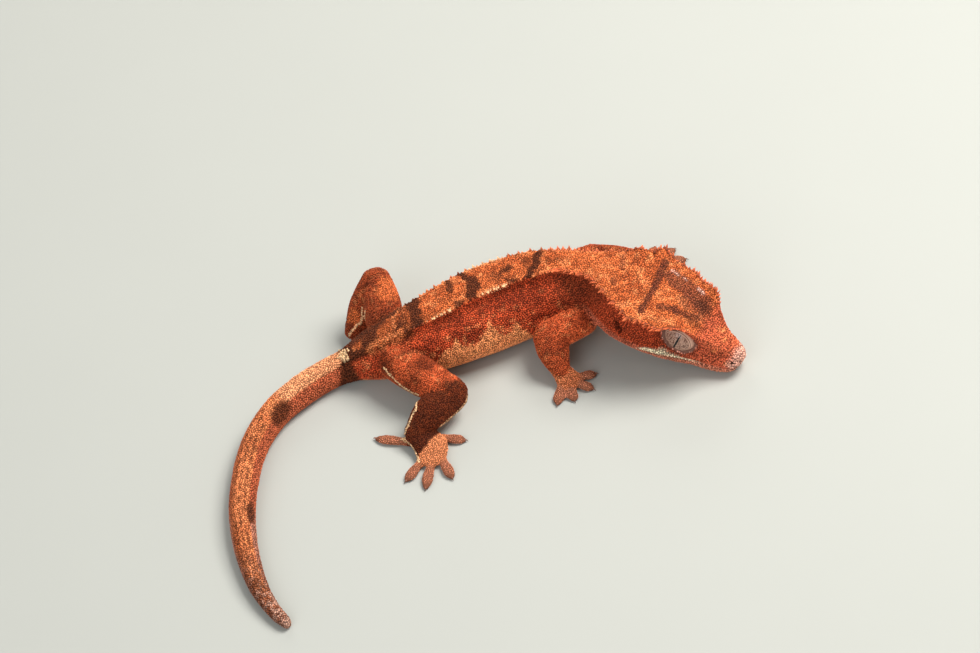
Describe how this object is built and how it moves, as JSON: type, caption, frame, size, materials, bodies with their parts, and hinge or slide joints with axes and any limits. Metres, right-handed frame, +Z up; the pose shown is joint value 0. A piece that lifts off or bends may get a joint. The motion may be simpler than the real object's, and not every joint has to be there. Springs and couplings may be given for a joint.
{
  "type": "crested gecko",
  "caption": "Still life-size crested gecko lying on a flat floor, head turned to its right, legs spread and tail curled to one side.",
  "frame": {"origin": "centre of the footprint on the floor", "axes": "+Z up, the body lies along X with the shoulders towards +X, the head turns towards -Y, the tail curls towards -Y"},
  "size_m": [0.1056, 0.0866, 0.0195],
  "materials": {
    "skin_back": "fine granular scales, matt",
    "skin_flank": "fine granular scales, matt",
    "skin_tail": "small flat scales in rings, matt",
    "skin_feet": "fine granular scales with smooth toe pads, matt",
    "eye": "wet clear eye with a fine veined iris and a slit pupil",
    "claw": "smooth dark claw"
  },
  "bodies": {
    "root": {"tail_tip": "skin_tail", "tail_middle": "skin_tail", "tail_base": "skin_tail", "torso": "skin_flank", "neck": "skin_flank", "head": "skin_back", "jaw": "skin_flank", "eye_left": "eye", "eye_right": "eye", "foreleg_right_upper": "skin_flank", "foreleg_right_lower": "skin_flank", "foreleg_right_foot": "skin_feet", "foreleg_left_upper": "skin_flank", "foreleg_left_lower": "skin_flank", "foreleg_left_foot": "skin_feet", "hindleg_right_upper": "skin_flank", "hindleg_right_lower": "skin_flank", "hindleg_right_foot": "skin_feet", "hindleg_left_upper": "skin_flank", "hindleg_left_lower": "skin_flank", "hindleg_left_foot": "skin_feet"}
  },
  "joints": []
}
